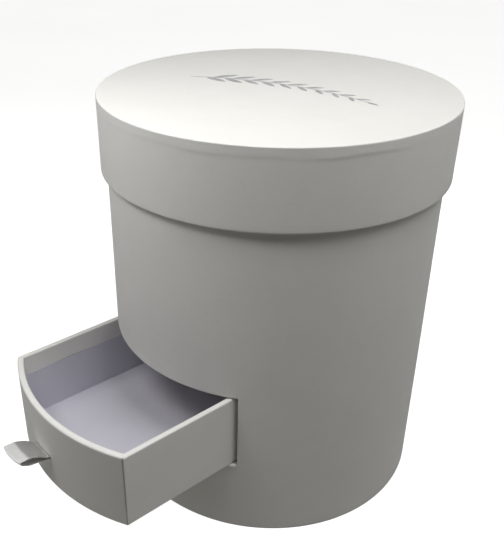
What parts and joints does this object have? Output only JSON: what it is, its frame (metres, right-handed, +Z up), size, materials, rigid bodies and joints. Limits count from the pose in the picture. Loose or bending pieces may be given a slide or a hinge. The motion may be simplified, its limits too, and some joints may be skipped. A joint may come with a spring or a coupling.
{
  "type": "flower box",
  "caption": "Round lidded paperboard flower box with a lift-off lid over an open compartment and a curved pull-out drawer with a ribbon pull.",
  "frame": {"origin": "centre of the underside of the round body, on the surface that the box stands on", "axes": "+Z up along the body's axis; -Y is the way the drawer pulls out; +X is to the right of someone facing the drawer's front"},
  "size_m": [0.1874, 0.2632, 0.2221],
  "materials": {
    "cover_paper": "matte",
    "lining_paper": "matte",
    "lined_board": "matte",
    "greyboard": "matte",
    "satin_ribbon": "satin",
    "silver_foil": "satin"
  },
  "bodies": {
    "tub": {"base_paper": "cover_paper", "base_disc": "greyboard", "support_ring": "greyboard", "drawer_shelf": "lined_board", "guide_left": "lined_board", "guide_right": "lined_board", "guide_back": "lined_board", "compartment_floor": "greyboard", "compartment_floor_paper": "lining_paper", "tube": "greyboard", "tube_wrap": "cover_paper", "tube_lining": "lining_paper", "slot_edging": "cover_paper"},
    "drawer": {"drawer_base_paper": "cover_paper", "drawer_floor": "greyboard", "drawer_front": "greyboard", "drawer_side_left": "greyboard", "drawer_side_right": "greyboard", "drawer_back": "greyboard", "drawer_wrap": "cover_paper", "drawer_front_wrap": "cover_paper", "drawer_floor_lining": "lining_paper", "drawer_wall_lining": "lining_paper", "ribbon_tails": "satin_ribbon"},
    "ribbon": {"ribbon_pull": "satin_ribbon"},
    "lid": {"lid_rim": "greyboard", "lid_disc": "greyboard", "lid_top_paper": "cover_paper", "lid_rim_wrap": "cover_paper", "lid_lining_disc": "lining_paper", "lid_lining_band": "lining_paper", "lid_foil": "silver_foil"}
  },
  "joints": [
    {"name": "drawer_slide", "type": "slide", "parent": "tub", "child": "drawer", "axis": [0, -1, 0], "range_m": [-0.065, 0.09]},
    {"name": "ribbon_flex", "type": "hinge", "parent": "drawer", "child": "ribbon", "pos_m": [-0.003, -0.15246, 0.0623], "axis": [1, 0, 0], "range_deg": [-35, 35], "stiffness_Nm_per_rad": 0.001},
    {"name": "lid_lift", "type": "slide", "parent": "tub", "child": "lid", "axis": [0, 0, 1], "range_m": [0, 0.06]}
  ]
}
